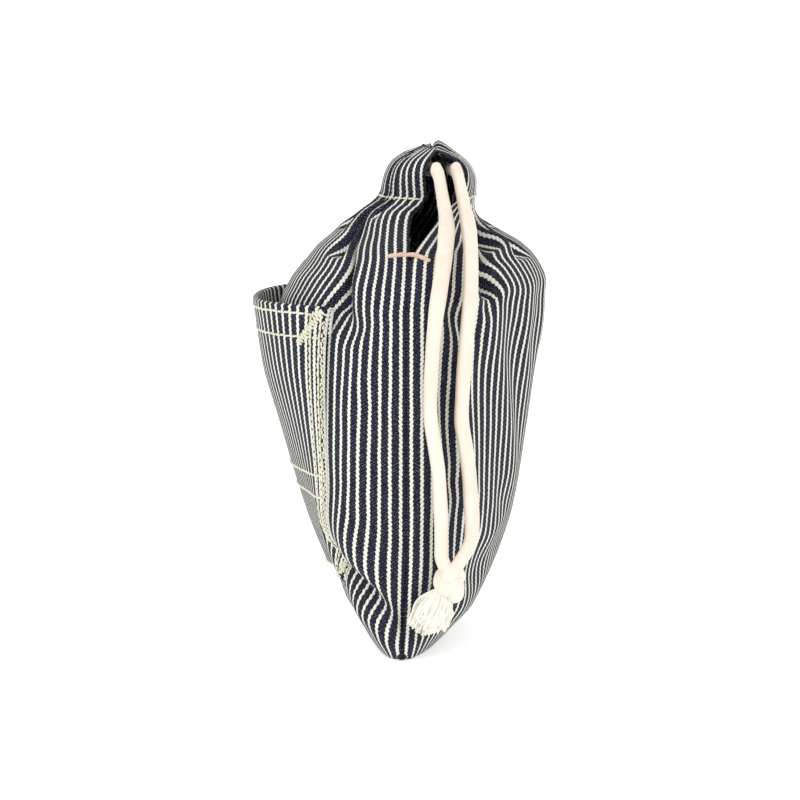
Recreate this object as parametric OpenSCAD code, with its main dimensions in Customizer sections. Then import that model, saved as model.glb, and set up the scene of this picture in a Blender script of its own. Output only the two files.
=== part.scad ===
// A small drawstring sack of striped twill, closed and standing on its bottom seam.
// +X runs along the sack's width towards the side where the drawcord comes out, -Y is the front
// with the patch pocket, +Z is up. The origin is under the middle, on the surface it stands on.

/* [Sack] */
// Height of the body, from the surface it stands on to the casing
body_h = 154; // [125:1:190]
// Width along the bottom edge, from corner to corner
body_w = 156; // [130:1:190]
// How far the front stands out from the side seams at its fullest
front_depth = 43; // [35:1:54]
// How far the back stands out from the side seams at its fullest
back_depth = 52.4; // [42:0.2:64]
// Thickness of the twill
cloth_t = 1; // [0.8:0.1:1.4]
// Width of the seam allowances inside
seam_allowance = 8; // [6:0.5:11]
// Height of the slits, from the tack at the top of each side seam to the casing
slit_h = 16; // [12:1:24]
// Width of the turned edge along each slit
slit_hem_w = 4; // [3:0.5:5]

/* [Neck] */
// Height of the gathered casings
casing_h = 21; // [19:0.5:27]
// Radius of the drawcord's loop inside the casings
loop_r = 10.5; // [10:0.5:14]
// Thickness of the gathers outside the cord's tunnel
gather_t = 3.6; // [2:0.1:5]
// Thickness of the gathers inside the cord's tunnel
lining_t = 1; // [0.8:0.1:1.6]
// Gap between the two casings on the side away from the cord's ends
casing_gap = 5; // [3:0.5:8]

/* [Pocket] */
// Half of the pocket's width, measured straight across the front
pocket_half = 50; // [38:1:60]
// Height of the pocket's bottom edge
pocket_z = 25; // [20:1:40]
// Height of the pocket's rim
pocket_rim_z = 118.5; // [98:1:122]
// How far the middle of the rim stands off the front panel
pocket_gape = 7; // [5:0.5:12]
// Depth of the rim's turned hem
hem_h = 11; // [9:0.5:15]
// Distance of the hem's two rows of stitching from the rim
hem_rows = [2.5, 9.5]; // [2:0.5:14]
// Heights of the two rows of stitching across the lower pocket
lower_rows_z = [55, 62]; // [45:1:90]

/* [Sewing] */
// Diameter of the topstitching thread
thread_d = 0.9; // [0.6:0.1:1.2]
// Distance between the two rows along the pocket's sides
side_row_gap = 3.5; // [2:0.5:6]
// Diameter of the corded bar tacks
tack_d = 1.5; // [1.2:0.1:2]
// Length of the tack across the side seam
slit_tack_l = 10; // [6:0.5:12]

/* [Drawcord] */
// Diameter of the cotton cord
cord_d = 6.6; // [5.5:0.1:8]
// Clearance of the cord in its tunnel
tunnel_clearance = 0.5; // [0.3:0.1:0.8]
// Diameter of the overhand knot that ties both strands
knot_d = 12; // [10:0.5:15]
// Height of that knot
knot_h = 16; // [13:0.5:20]
// Length of the frayed ends below the knot
fray_l = 14; // [10:0.5:16]

/* [Hidden] */

FRONT = -1;
BACK = 1;
seat = 0.3;             // gap between soft pieces that lie on each other
slit_start = body_h - slit_h;
seam_gap = 0.45;        // half of the gap between the panels along a side seam
foot_gap = 0.15;        // half of the gap between the panels along the bottom seam
columns = 24;           // faces across a panel
lattice = 1 / columns;
denim = [0.10, 0.11, 0.17];
stripe = [0.86, 0.86, 0.78];
cotton = [0.95, 0.90, 0.80];
peach = [0.88, 0.76, 0.64];

// The neck: the loop's centre, the cord's height, and the two straight runs to the cord's exit
neck = [-2, 10];
cord_r = cord_d / 2;
tunnel_r = cord_r + tunnel_clearance;
casing_z = body_h + 2 * seat;
cord_z = casing_z + casing_h * 0.57;
neck_r = loop_r + tunnel_r + gather_t;
front_leave = -62;      // direction from the loop's centre where the front strand leaves the loop
back_leave = 86;        // the same for the back strand
casing_end_x = 14;      // where the straight part of each casing stops

// Ribs up the sack: height, half width, front, back, fullness of the section, then the places of
// the front's and the back's edge. The last ribs close in on the neck.
ribs = [
  [0, body_w / 2, foot_gap, foot_gap, 1, 0, 0],
  [0, body_w / 2, 0.235 * front_depth, 0.225 * back_depth, 1, 0, 0],
  [0.025 * body_h, 0.5 * body_w, 0.31 * front_depth, 0.32 * back_depth, 0.85, 0, 0],
  [0.07 * body_h, 0.494 * body_w, 0.41 * front_depth, 0.43 * back_depth, 0.7, 0.5, 0.5],
  [0.16 * body_h, 0.478 * body_w, 0.58 * front_depth, 0.58 * back_depth, 0.65, 1, 1],
  [0.3 * body_h, 0.455 * body_w, 0.77 * front_depth, 0.74 * back_depth, 0.7, 1.5, 1.5],
  [0.49 * body_h, 0.436 * body_w, 0.93 * front_depth, 0.85 * back_depth, 0.85, 1.5, 1.5],
  [0.65 * body_h, 0.423 * body_w, front_depth, 0.92 * back_depth, 1, 1.5, 1.5],
  [0.77 * body_h, 0.404 * body_w, 0.99 * front_depth, back_depth, 1, 1.5, 1.5],
  [0.81 * body_h, 0.388 * body_w, 0.92 * front_depth, back_depth, 1, 2, 2],
  [0.86 * body_h, 0.36 * body_w, 0.79 * front_depth, 0.94 * back_depth, 1, 2.5, 2.5],
  [slit_start + 2, 0.314 * body_w, 0.63 * front_depth, 0.79 * back_depth, 1, 3, 4.5],
  [slit_start + 0.55 * slit_h, 0.24 * body_w, 0.42 * front_depth,
    0.6 * back_depth, 1, 3.5, 11],
  [body_h - 3.5, neck_r + 8, neck_r - 4, neck_r + 8.5, 1, 5.5, 12.5],
  [body_h, neck_r + 2, neck_r - 9.5, neck_r + 9.5, 1, 11.8, 13]];
last_rib = len(ribs) - 1;
upper_ribs = [for (i = [1 : last_rib]) ribs[i]];
heights = [for (i = [1 : last_rib]) [ribs[i][0], i]];
rows = [for (i = [0 : 2 * last_rib - 1]) i == 0 ? 0 : (i + 1) / 2];

function mix(a, b, f) = a + (b - a) * f;
function unit(v) = v / max(norm(v), 0.000001);
function curve(p, t) = let (
    n = len(p) - 1, i = min(max(floor(t), 0), n - 1), f = t - i,
    a = p[max(i - 1, 0)], b = p[i], c = p[i + 1], d = p[min(i + 2, n)])
  0.5 * (2 * b + (c - a) * f + (2 * a - 5 * b + 4 * c - d) * f * f
    + (3 * b - a - 3 * c + d) * f * f * f);
function rib(t) = t < 1 ? mix(ribs[0], ribs[1], t) : curve(upper_ribs, t - 1);
function rib_at(z) = lookup(z, heights);
function gap(t) = mix(foot_gap, seam_gap, min(t, 1));

// A point on the outside of a panel: u runs from -1 to 1 across it, t is the rib
function panel(side, u, t) = let (
    r = rib(t), a = 90 * u,
    edge = (side == FRONT ? r[5] : r[6]) + side * gap(t),
    middle = side * max(side == FRONT ? r[2] : r[3], gap(t)))
  [r[1] * sin(a), mix(edge, middle, pow(max(cos(a), 0), r[4])), r[0]];
function panel_edge(side, t) = panel(side, 1, t)[1];
function outward(side, u, t) = let (
    du = panel(side, min(u + 0.02, 1), t) - panel(side, max(u - 0.02, -1), t),
    dt = panel(side, u, min(t + 0.05, last_rib)) - panel(side, u, max(t - 0.05, 0)))
  -side * unit(cross(du, dt));
// The same point moved outwards, kept inside the side seams and on its own side of them
function lifted(side, u, t, out) = let (
    p = panel(side, u, t) + out * outward(side, u, t), e = panel_edge(side, t),
    w = rib(t)[1] + min(out, 0))
  out > 0 ? p
    : [max(-w, min(w, p[0])), side == FRONT ? min(p[1], e) : max(p[1], e), p[2]];
// A point off the front at x, used by the pocket and its stitching
function across(x, t) = asin(max(-1, min(1, x / rib(t)[1]))) / 90;
function pocket_off(p, t) = let (
    f = (t - rib_at(pocket_z)) / (rib_at(pocket_rim_z) - rib_at(pocket_z)), g = max(f, 0))
  seat + (seat + cloth_t) * min(2 * g, 1) + pocket_gape * pow(g, 2.5) * (1 - pow(abs(p), 3));
function pocket(p, t, out) =
  lifted(FRONT, across(p * pocket_half, t), t, pocket_off(p, t) + out);

// A closed skin between two grids of points, each a list of rows
module skin(outer, inner) {
  n = len(outer);
  m = len(outer[0]);
  inside = n * m;
  points = [for (row = outer) for (p = row) p, for (row = inner) for (p = row) p];
  outer_faces = [for (i = [0 : n - 2]) for (j = [0 : m - 2])
    let (a = i * m + j) each [[a, a + 1, a + m + 1], [a, a + m + 1, a + m]]];
  inner_faces = [for (i = [0 : n - 2]) for (j = [0 : m - 2]) let (a = inside + i * m + j)
    each [[a, a + m + 1, a + 1], [a, a + m, a + m + 1]]];
  rim = [for (j = [0 : m - 2]) j, for (i = [0 : n - 2]) i * m + m - 1,
    for (j = [m - 1 : -1 : 1]) (n - 1) * m + j, for (i = [n - 1 : -1 : 1]) i * m];
  rim_faces = [for (k = [0 : len(rim) - 1]) let (a = rim[k], b = rim[(k + 1) % len(rim)])
    each [[a, a + inside, b + inside], [a, b + inside, b]]];
  polyhedron(points, concat(outer_faces, inner_faces, rim_faces));
}

// A round tube through points; round_start adds a dome centred on the first point
module tube(points, r, sides = 8, facing = [0, 1, 0], round_start = false) {
  n = len(points);
  dome = round_start ? [70, 45, 20] : [];
  along = [for (i = [0 : n - 1]) unit(points[min(i + 1, n - 1)] - points[max(i - 1, 0)])];
  stations = [for (a = dome) [points[0] - along[0] * r * sin(a), along[0], r * cos(a)],
    for (i = [0 : n - 1]) [points[i], along[i], r]];
  rings = [for (s = stations) let (side = unit(cross(s[1], facing)), up = cross(side, s[1]))
    for (k = [0 : sides - 1])
      s[0] + s[2] * (cos(360 * k / sides) * side + sin(360 * k / sides) * up)];
  last = (len(stations) - 1) * sides;
  walls = [for (i = [0 : len(stations) - 2]) for (k = [0 : sides - 1]) let (
      a = i * sides + k, b = i * sides + (k + 1) % sides)
    each [[a, b, b + sides], [a, b + sides, a + sides]]];
  polyhedron(rings, concat(walls, [[for (k = [sides - 1 : -1 : 0]) k]],
    [[for (k = [0 : sides - 1]) last + k]]));
}

module panel_skin(side, color_of) {
  us = [for (j = [-columns / 2 : columns / 2]) 2 * j * lattice * -side];
  color(color_of) skin([for (t = rows) [for (u = us) panel(side, u, t)]],
    [for (t = rows) [for (u = us) lifted(side, u, t, -cloth_t)]]);
}
module front_panel() { panel_skin(FRONT, denim); }
module back_panel() { panel_skin(BACK, denim); }

// Both allowances of a side seam, overlocked together and turned into the sack
module side_seam(side) {
  low = rib_at(16);
  high = rib_at(slit_start - 2);
  ts = [for (i = [0 : 12]) mix(low, high, i / 12)];
  function flange(x_in, dy) = [for (t = ts) let (r = rib(t))
    [side * (r[1] - cloth_t - seat - x_in), r[5] + dy * cloth_t, r[0]]];
  depths = [1.5, seam_allowance];
  color(stripe) skin([for (t = [0 : len(ts) - 1]) [for (d = depths) flange(d, -side)[t]]],
    [for (t = [0 : len(ts) - 1]) [for (d = depths) flange(d, side)[t]]]);
}
module right_side_seam() { side_seam(1); }
module left_side_seam() { side_seam(-1); }

// Both allowances of the bottom seam, standing up inside the sack
module bottom_seam() {
  half = 0.37 * body_w;
  color(stripe) translate([-half, -cloth_t, cloth_t + seat])
    cube([2 * half, 2 * cloth_t, seam_allowance]);
}

// The turned edges of the front and the back along one slit
module slit_hems(side) {
  ts = [for (i = [0 : 5]) mix(rib_at(slit_start + 1), last_rib - 0.15, i / 5)];
  for (panel_side = [FRONT, BACK]) {
    us = [for (j = [0 : 2]) side * (1 - (2 - j) / 2 * slit_hem_w / (1.57 * 40)) * 0.985];
    order = side * panel_side < 0 ? us : [us[2], us[1], us[0]];
    color(stripe)
      skin([for (t = ts) [for (u = order) lifted(panel_side, u, t, -cloth_t - 1.5 * seat)]],
        [for (t = ts) [for (u = order) lifted(panel_side, u, t, -2 * cloth_t - 1.5 * seat)]]);
  }
}
module right_slit_hems() { slit_hems(1); }
module left_slit_hems() { slit_hems(-1); }

// The tack laid over the seam where the slit starts
module slit_tack(side) {
  r = rib(rib_at(slit_start - tack_d / 2));
  function over(y) = let (b = y < r[5] ? r[2] + r[5] : r[3] - r[5])
    side * (r[1] * sqrt(1 - pow((y - r[5]) / b, 2)) + tack_d / 2 + seat);
  color(peach) tube([for (i = [-4 : 4]) let (y = r[5] + i * slit_tack_l / 8)
    [over(y), y, slit_start]],
    tack_d / 2, facing = [0, 0, 1]);
}
module right_slit_tack() { slit_tack(1); }
module left_slit_tack() { slit_tack(-1); }

// The loop's run round the neck: places and headings along an arc, and on along a straight run
function slot_angle() = asin(casing_gap / 2 / loop_r);
function on_loop(a) = neck + loop_r * [cos(a), sin(a)];
function heading(a) = [-sin(a), cos(a)];
function arc_run(from, to) = [for (i = [0 : 10]) let (a = mix(from, to, i / 10))
  [on_loop(a), heading(a)]];
function run_to(x, a) = (x - on_loop(a)[0]) / heading(a)[0];
function straight_run(a, steps) = [for (f = steps)
  [on_loop(a) + f * run_to(casing_end_x, a) * heading(a), heading(a)]];
front_run = concat(arc_run(-180 + slot_angle(), front_leave),
  straight_run(front_leave, [0.33, 0.67, 1]));
back_run = concat(straight_run(back_leave, [1, 0.67, 0.33]),
  arc_run(back_leave, 180 - slot_angle()));
loop_run = concat(straight_run(back_leave, [1, 0.67, 0.33]),
  arc_run(back_leave, 180), arc_run(188, 360 + front_leave),
  straight_run(front_leave, [0.33, 0.67, 1]));

// Outline of a gathered casing across its run: x away from the neck's hole, y up from the cord
function casing_outline() = let (
    out = tunnel_r + gather_t, in = tunnel_r + lining_t, dome = (out + in) / 2,
    low = casing_z - cord_z, high = casing_z + casing_h - cord_z)
  [[0, low], [out / 2, low], [out, low], [out, low / 2.5], [out, 0],
    for (a = [0 : 20 : 180]) [(out - in) / 2 + dome * cos(a), high - dome + dome * sin(a)],
    [-in, 0], [-in, low / 2.5], [-in, low], [-in / 2, low]];

// One casing: the outline swept along its run, with the cord's tunnel through it
module casing(run) {
  outline = casing_outline();
  m = len(outline);
  inside = len(run) * m;
  last = (len(run) - 1) * m;
  function placed(s, q) = [s[0][0] + q[0] * s[1][1], s[0][1] - q[0] * s[1][0], cord_z + q[1]];
  points = [for (s = run) for (q = outline) placed(s, q),
    for (s = run) for (q = outline) placed(s, tunnel_r * unit(q))];
  walls = [for (i = [0 : len(run) - 2]) for (k = [0 : m - 1])
    let (a = i * m + k, b = i * m + (k + 1) % m, c = inside + a, d = inside + b)
      each [[a, b + m, b], [a, a + m, b + m], [c, d, d + m], [c, d + m, c + m]]];
  ends = [for (k = [0 : m - 1])
    let (a = k, b = (k + 1) % m, c = inside + a, d = inside + b)
      each [[a, b, d], [a, d, c], [last + a, last + d, last + b], [last + a, last + c, last + d]]];
  polyhedron(points, concat(walls, ends));
}
module front_casing() { color(denim) casing(front_run); }
module back_casing() { color(denim) casing(back_run); }

// A row of stitching round the foot of a casing
module casing_stitching(side, leave) {
  start = side == FRONT ? -180 + slot_angle() : leave;
  sweep = side == FRONT ? leave - start : 180 - slot_angle() - leave;
  color(cotton) translate([neck[0], neck[1], casing_z + 2]) rotate([0, 0, start])
    rotate_extrude(angle = sweep, $fn = 96)
      translate([neck_r + seat / 2 + thread_d / 2, 0]) circle(d = thread_d, $fn = 16);
}
module front_casing_stitching() { casing_stitching(FRONT, front_leave); }
module back_casing_stitching() { casing_stitching(BACK, back_leave); }

module pocket_skin(low, high, off) {
  ps = [for (j = [0 : 16]) j / 8 - 1];
  ts = [for (i = [0 : 12]) mix(rib_at(low), rib_at(high), i / 12)];
  skin([for (t = ts) [for (p = ps) pocket(p, t, off + cloth_t)]],
    [for (t = ts) [for (p = ps) pocket(p, t, off)]]);
}
module pocket_panel() { color(denim) pocket_skin(pocket_z, pocket_rim_z, 0); }

// The hem turned in behind the rim, held clear of the panel and of the front
module pocket_hem() {
  ps = [for (j = [0 : 16]) max(-0.97, min(0.97, j / 8 - 1))];
  ts = [for (i = [0 : 3]) mix(rib_at(pocket_rim_z - hem_h), rib_at(pocket_rim_z), i / 3)];
  color(denim) skin([for (t = ts) [for (p = ps) pocket(p, t, -seat)]],
    [for (t = ts) [for (p = ps) pocket(p, t, -seat - 0.8 * cloth_t)]]);
}

// Rows of stitching laid on the pocket
function row_out() = cloth_t + seat / 2 + thread_d / 2;
module pocket_row(z, reach = 0.96) {
  tube([for (j = [0 : 20]) pocket((j / 10 - 1) * reach, rib_at(z), row_out())], thread_d / 2, 6,
    [0, 0, 1]);
}
module pocket_hem_stitching() {
  color(cotton) for (d = hem_rows) pocket_row(pocket_rim_z - d, 0.87);
}
module pocket_lower_stitching() { color(cotton) for (z = lower_rows_z) pocket_row(z, 0.87); }
module pocket_bottom_stitching() { color(cotton) pocket_row(pocket_z + 2.5, 0.87); }
module pocket_side_stitching() {
  for (side = [-1, 1]) for (i = [0, 1]) {
    p = side * (pocket_half - 1.8 - i * side_row_gap) / pocket_half;
    color(cotton) tube([for (k = [0 : 14])
      pocket(p, rib_at(mix(pocket_z + 4.5, pocket_rim_z - 12.5, k / 14)), row_out())],
      thread_d / 2, 6, [1, 0, 0]);
  }
}
// Zigzag tacks that hold the pocket's top corners and short ones at the bottom corners
module pocket_corner_tacks() {
  for (side = [-1, 1]) {
    top = [for (k = [0 : 6]) [side * (pocket_half - 1.5 - (k % 2) * 3.5) / pocket_half,
      pocket_rim_z - 1 - k * 1.5]];
    bottom = [for (k = [0 : 3]) [side * (pocket_half - 1.5 - (k % 2) * 3) / pocket_half,
      pocket_z + 3.6 - k]];
    for (zigzag = [top, bottom]) color(cotton)
      tube([for (q = zigzag) pocket(q[0], rib_at(q[1]), row_out() + seat)],
        thread_d / 2, 6, [0, -1, 0.1]);
  }
}

// The drawcord: a loop in the tunnels, leads out of the gathers, and two free strands
module drawcord_loop() {
  color(cotton)
    tube([for (s = loop_run) [s[0][0], s[0][1], cord_z]], cord_r, 12, [0, 0, 1]);
}
front_lead = [[14.4, 6.8], [17, 8.3], [20, 9.9], [22.3, 11.2]];
back_lead = [[14.4, 19.4], [17, 19.2], [20, 19.05], [22.3, 18.95]];
module drawcord_lead() {
  color(cotton) for (route = [front_lead, back_lead])
    tube([for (p = route) [p[0], p[1], cord_z]], cord_r, 12, [0, 0, 1]);
}
front_route = [[26, 12.1, 166.3], [29.5, 13, 164.6], [33, 13.8, 160.5], [36.5, 14.6, 156],
  [40.5, 15.3, 152], [45, 15.6, 148.6], [50, 15.5, 145], [55, 15, 140], [59.5, 14.2, 134],
  [63, 13.2, 127.5], [66, 12, 119.5], [68, 11, 110.5], [69.3, 10.3, 101], [70.1, 9.9, 92],
  [70.8, 10, 83], [71.5, 11.3, 74], [72.5, 12.6, 65], [73.6, 13.2, 56], [74.8, 13.6, 47],
  [75.8, 13.7, 40], [76.5, 13.8, 35.3]];
back_route = [[26, 19, 166.3], [29.5, 19.7, 164.6], [33, 20.6, 160.5], [36.5, 21.5, 156],
  [40.5, 22.3, 152], [45, 23, 148.6], [49.5, 23.6, 144.6], [53.5, 23.9, 139.6],
  [57.5, 24, 133], [60.5, 23.8, 126], [62.5, 23, 117.5], [63.8, 22.2, 108.5],
  [64.6, 21.5, 99], [65.5, 21, 90], [66.8, 20.8, 82], [68.2, 22.2, 73], [69.6, 23.4, 64],
  [71, 24, 55], [72.6, 24.4, 47.5], [74.4, 24, 41], [76.3, 21, 35.3]];
module drawcord_front_strand() {
  color(cotton) tube(front_route, cord_r, 12, round_start = true);
}
module drawcord_back_strand() {
  color(cotton) tube(back_route, cord_r, 12, round_start = true);
}
knot_top = [77.3, 16.8, 35];
module drawcord_knot() {
  round = knot_d / 4;
  color(cotton) translate(knot_top - [0, 0, knot_h]) rotate_extrude($fn = 48)
    polygon([[0, 0],
      for (a = [-90 : 15 : 0]) [knot_d / 2 - round + round * cos(a), round + round * sin(a)],
      for (a = [0 : 15 : 90])
        [knot_d / 2 - round + round * cos(a), knot_h - round + round * sin(a)],
      [0, knot_h]]);
}
module frayed_end(place, lean, turn) {
  color(cotton) translate(knot_top + place - [0, 0, knot_h + seat]) rotate([0, 0, turn])
    rotate([180 - lean, 0, 0])
      cylinder(h = fray_l, r1 = cord_r * 0.9, r2 = cord_r * 1.25, $fn = 32);
}
module drawcord_front_end() { frayed_end([2.5, -4.6, -1.2], 34, 38); }
module drawcord_back_end() { frayed_end([2.2, 2.4, -0.5], 8, 0); }

front_panel();
back_panel();
right_side_seam();
left_side_seam();
bottom_seam();
right_slit_hems();
left_slit_hems();
right_slit_tack();
left_slit_tack();
front_casing();
back_casing();
front_casing_stitching();
back_casing_stitching();
pocket_panel();
pocket_hem();
pocket_hem_stitching();
pocket_lower_stitching();
pocket_side_stitching();
pocket_bottom_stitching();
pocket_corner_tacks();
drawcord_loop();
drawcord_lead();
drawcord_front_strand();
drawcord_back_strand();
drawcord_knot();
drawcord_front_end();
drawcord_back_end();
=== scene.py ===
# %% [markdown]
# # A small striped drawstring sack
# The sack is two panels of hickory-striped denim, sewn down both sides and along the bottom, with
# a patch pocket on its front. A cotton cord runs through the casings at the top, comes out of one
# slit, and both of its ends are tied in one knot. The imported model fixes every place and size, and
# the cells below make the cloth, the sewing and the cord that are seen.

# %% Load the frame
import math
import bpy
import numpy as np
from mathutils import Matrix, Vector


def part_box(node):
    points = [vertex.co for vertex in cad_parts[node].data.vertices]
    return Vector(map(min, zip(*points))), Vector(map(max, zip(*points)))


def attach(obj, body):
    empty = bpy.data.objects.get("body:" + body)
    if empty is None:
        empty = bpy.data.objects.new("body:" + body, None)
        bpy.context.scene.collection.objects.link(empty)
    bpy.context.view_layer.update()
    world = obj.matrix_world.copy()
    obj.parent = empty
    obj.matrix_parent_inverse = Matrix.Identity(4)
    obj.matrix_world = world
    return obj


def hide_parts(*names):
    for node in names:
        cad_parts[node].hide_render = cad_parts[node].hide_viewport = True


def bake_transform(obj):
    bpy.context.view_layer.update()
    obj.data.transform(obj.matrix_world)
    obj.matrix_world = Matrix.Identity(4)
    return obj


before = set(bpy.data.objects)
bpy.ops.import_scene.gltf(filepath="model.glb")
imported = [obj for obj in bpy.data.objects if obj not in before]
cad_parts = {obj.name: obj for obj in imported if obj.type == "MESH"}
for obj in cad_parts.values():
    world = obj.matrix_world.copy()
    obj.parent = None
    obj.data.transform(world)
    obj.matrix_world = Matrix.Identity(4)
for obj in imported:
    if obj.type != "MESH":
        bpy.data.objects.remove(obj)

MM = 0.001
FRONT, BACK = -1, 1
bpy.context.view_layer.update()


def box_mm(node):
    low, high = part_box(node)
    return np.array(low) / MM, np.array(high) / MM


front_box, back_box = box_mm("front_panel"), box_mm("back_panel")
BODY_W = front_box[1][0] - front_box[0][0]
BODY_H = front_box[1][2]
FRONT_DEPTH, BACK_DEPTH = -front_box[0][1], back_box[1][1]
print("body", BODY_W, BODY_H, "front", FRONT_DEPTH, "back", BACK_DEPTH)

# %% [markdown]
# ## Camera and light
# The sack is seen from its side edge, from a little above, through a long lens that keeps its
# lines straight. The light is a white room and two large soft panels, so there are few shadows.

# %% Camera, floor and lights
CAMERA_RISE = math.radians(6)
CAMERA_DISTANCE = 2.5
SENSOR = 36
SEEN_WIDTH = 0.2848
AIM = Vector((0, -0.0006, 0.0823))


def add_camera():
    data = bpy.data.cameras.new("camera")
    data.lens = SENSOR * CAMERA_DISTANCE / SEEN_WIDTH
    data.clip_end = 20
    camera = bpy.data.objects.new("camera", data)
    bpy.context.scene.collection.objects.link(camera)
    back = Vector((math.cos(CAMERA_RISE), 0, math.sin(CAMERA_RISE)))
    camera.location = AIM + back * CAMERA_DISTANCE
    camera.rotation_mode = "QUATERNION"
    camera.rotation_quaternion = (-back).to_track_quat("-Z", "Y")
    bpy.context.scene.camera = camera


def add_panel(name, place, size, power):
    data = bpy.data.lights.new(name, "AREA")
    data.shape = "DISK"
    data.size = size
    data.energy = power
    light = bpy.data.objects.new(name, data)
    light.location = place
    light.rotation_euler = (AIM - light.location).to_track_quat("-Z", "Y").to_euler()
    bpy.context.scene.collection.objects.link(light)


def add_floor():
    bpy.ops.mesh.primitive_plane_add(size=12, location=(0, 0, -0.0004))
    floor = bpy.context.object
    floor.name = "floor"
    paint = bpy.data.materials.new("floor_paint")
    paint.use_nodes = True
    shader = paint.node_tree.nodes["Principled BSDF"]
    shader.inputs["Base Color"].default_value = (0.85, 0.85, 0.85, 1)
    shader.inputs["Roughness"].default_value = 0.9
    shader.inputs["Emission Color"].default_value = (1, 1, 1, 1)
    shader.inputs["Emission Strength"].default_value = 0.5
    floor.data.materials.append(paint)


def add_room(strength):
    world = bpy.data.worlds.new("room")
    world.use_nodes = True
    world.node_tree.nodes["Background"].inputs["Color"].default_value = (1, 1, 1, 1)
    world.node_tree.nodes["Background"].inputs["Strength"].default_value = strength
    bpy.context.scene.world = world


add_camera()
add_floor()
add_room(1.0)
add_panel("key_panel", (1.1, -0.9, 1.3), 0.9, 5.5)
add_panel("fill_panel", (1.2, 1.1, 0.7), 1.0, 1.6)
bpy.context.scene.view_settings.view_transform = "Standard"

# %% [markdown]
# ## Small helpers
# Everything is worked out in millimetres, as a maker would measure it, and turned into metres
# when a mesh is made. A smooth curve through a few chosen values is enough for most shapes, so
# one interpolator serves the cloth, the cord and the tufts.

# %% Curves, meshes and tubes
SACK, LEAD, TAIL = "sack", "drawcord_lead", "drawcord_tail"


def smooth_step(x):
    x = np.clip(x, 0, 1)
    return x * x * (3 - 2 * x)


def through(xs, ys, at):
    """A smooth curve through points that never overshoots them; ys may have columns."""
    xs, ys, at = np.asarray(xs, float), np.asarray(ys, float), np.asarray(at, float)
    columns = ys.reshape(len(xs), -1)
    step = np.diff(xs)[:, None]
    slope = np.diff(columns, axis=0) / step
    rise = np.zeros_like(columns)
    same = slope[:-1] * slope[1:] > 0
    both = np.where(same, slope[:-1] + slope[1:], 1)
    rise[1:-1] = np.where(same, 2 * slope[:-1] * slope[1:] / both, 0)
    rise[0], rise[-1] = slope[0], slope[-1]
    i = np.clip(np.searchsorted(xs, at, side="right") - 1, 0, len(xs) - 2)
    w = step[i]
    f = ((at - xs[i])[..., None] / w).clip(0, 1)
    a, b = columns[i], columns[i + 1]
    curve = (a * (1 + 2 * f) * (1 - f) ** 2 + b * f * f * (3 - 2 * f)
             + w * f * (1 - f) * (rise[i] * (1 - f) - rise[i + 1] * f))
    return curve.reshape(at.shape + ys.shape[1:])


def make_mesh(name, points_mm, faces, uv=None, smooth=True):
    """A new object from points in millimetres; uv gives each point its place on the flat cloth."""
    mesh = bpy.data.meshes.new(name)
    mesh.from_pydata((np.asarray(points_mm) * MM).tolist(), [], faces)
    mesh.validate()
    if uv is not None:
        layer = mesh.uv_layers.new(name="cut")
        corners = np.zeros(len(mesh.loops), np.int32)
        mesh.loops.foreach_get("vertex_index", corners)
        layer.data.foreach_set("uv", np.asarray(uv, np.float32)[corners].ravel())
    mesh.shade_smooth() if smooth else mesh.shade_flat()
    piece = bpy.data.objects.new(name, mesh)
    bpy.context.scene.collection.objects.link(piece)
    return piece


def grid_faces(rows, columns, flip=False):
    """Quads of a grid of points that is stored row by row."""
    a = (np.arange(rows - 1)[:, None] * columns + np.arange(columns - 1)[None, :]).ravel()
    quads = np.stack([a, a + 1, a + columns + 1, a + columns], axis=1)
    return (quads[:, ::-1] if flip else quads).tolist()


def frames_along(path):
    """Two unit directions across a path at each of its points, without any twist."""
    path = np.asarray(path, float)
    ahead = np.gradient(path, axis=0)
    ahead /= np.linalg.norm(ahead, axis=1)[:, None]
    across = np.zeros_like(path)
    start = np.cross(ahead[0], (0.0, 0.0, 1.0))
    if np.linalg.norm(start) < 0.2:
        start = np.cross(ahead[0], (0.0, 1.0, 0.0))
    across[0] = start / np.linalg.norm(start)
    for i in range(1, len(path)):
        v = across[i - 1] - ahead[i] * (across[i - 1] @ ahead[i])
        across[i] = v / np.linalg.norm(v)
    return across, np.cross(ahead, across)


def resample(path, spacing):
    """Points a fixed distance apart along a smooth curve through a path."""
    path = np.asarray(path, float)
    gone = np.concatenate([[0], np.cumsum(np.linalg.norm(np.diff(path, axis=0), axis=1))])
    fine = catmull(path, gone, np.linspace(0, gone[-1], 12 * len(path)))
    run = np.concatenate([[0], np.cumsum(np.linalg.norm(np.diff(fine, axis=0), axis=1))])
    at = np.linspace(0, run[-1], max(int(run[-1] / spacing), 3) + 1)
    return np.stack([np.interp(at, run, fine[:, k]) for k in range(3)], axis=1), at


def catmull(points, at_points, at):
    """A curve through points at their own distances, with soft slopes."""
    slope = np.gradient(points, at_points, axis=0)
    i = np.clip(np.searchsorted(at_points, at, side="right") - 1, 0, len(points) - 2)
    w = (at_points[i + 1] - at_points[i])[:, None]
    f = ((at - at_points[i])[:, None] / w).clip(0, 1)
    return (points[i] * (1 + 2 * f) * (1 - f) ** 2 + points[i + 1] * f * f * (3 - 2 * f)
            + w * f * (1 - f) * (slope[i] * (1 - f) - slope[i + 1] * f))


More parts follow.
